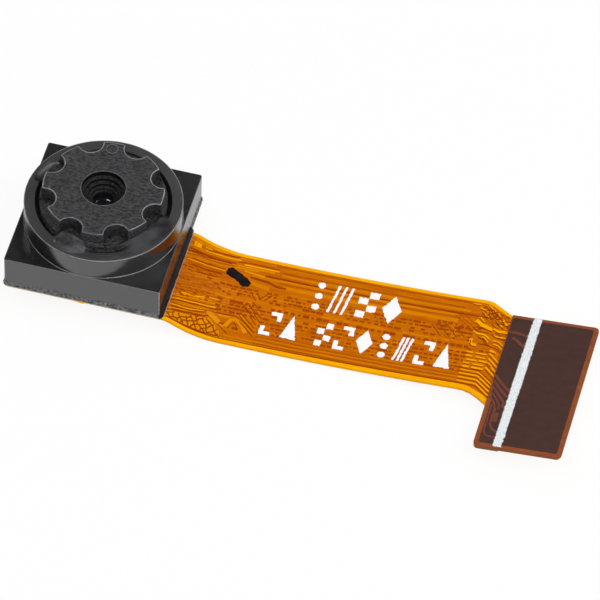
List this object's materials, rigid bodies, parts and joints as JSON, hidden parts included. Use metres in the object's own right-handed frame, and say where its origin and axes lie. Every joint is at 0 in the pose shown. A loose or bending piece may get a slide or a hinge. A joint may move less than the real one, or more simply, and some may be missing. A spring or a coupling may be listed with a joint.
{
  "type": "camera module",
  "caption": "Compact camera module: lens barrel screwed and glued in a square holder over an image sensor, on a formed flexible circuit with a contact tongue.",
  "frame": {"origin": "on the optical axis, at the underside of the stiffener plate that the module rests on", "axes": "+Z out of the lens, +X along the flexible circuit towards its contact tongue"},
  "size_m": [0.0293, 0.0115, 0.0051],
  "materials": {
    "adhesive_film": "bonding film",
    "amber_film": "amber polyimide film",
    "barrel_black": "fine-grained black moulding",
    "brown_film": "dark brown polyimide",
    "capacitor": "ceramic with tinned ends",
    "copper": "copper",
    "filter_glass": "pale coated glass",
    "glue_black": "cured black glue",
    "gold": "gold-plated copper",
    "holder_black": "satin black moulding",
    "lens_glass": "clear moulded lens",
    "silicon": "polished silicon",
    "solder": "solder",
    "stiffener_board": "glass-filled board"
  },
  "bodies": {
    "root": {"aperture_stop": "barrel_black", "bottom_coverlay": "amber_film", "chip_capacitor_1": "capacitor", "chip_capacitor_2": "capacitor", "chip_capacitor_3": "capacitor", "chip_capacitor_4": "capacitor", "component_lands": "gold", "contact_finger_01": "gold", "contact_finger_02": "gold", "contact_finger_03": "gold", "contact_finger_04": "gold", "contact_finger_05": "gold", "contact_finger_06": "gold", "contact_finger_07": "gold", "contact_finger_08": "gold", "contact_finger_09": "gold", "contact_finger_10": "gold", "contact_finger_11": "gold", "contact_finger_12": "gold", "contact_finger_13": "gold", "contact_finger_14": "gold", "contact_finger_15": "gold", "contact_finger_16": "gold", "filter_bond_line": "glue_black", "flex_base_film": "amber_film", "front_lens": "lens_glass", "ground_copper": "copper", "holder_glue": "glue_black", "image_sensor_die": "silicon", "infrared_filter": "filter_glass", "lens_barrel": "barrel_black", "lens_holder": "holder_black", "lens_retainer": "barrel_black", "lens_spacer": "barrel_black", "middle_lens": "lens_glass", "pad_stiffener": "stiffener_board", "plated_vias": "copper", "rear_lens": "lens_glass", "sensor_cover_glass": "lens_glass", "sensor_dam": "glue_black", "sensor_solder_balls": "solder", "signal_traces": "copper", "stiffener_adhesive": "adhesive_film", "thread_glue_front": "glue_black", "thread_glue_left": "glue_black", "thread_glue_right": "glue_black", "tongue_stiffener": "brown_film", "top_coverlay": "amber_film"}
  },
  "joints": []
}
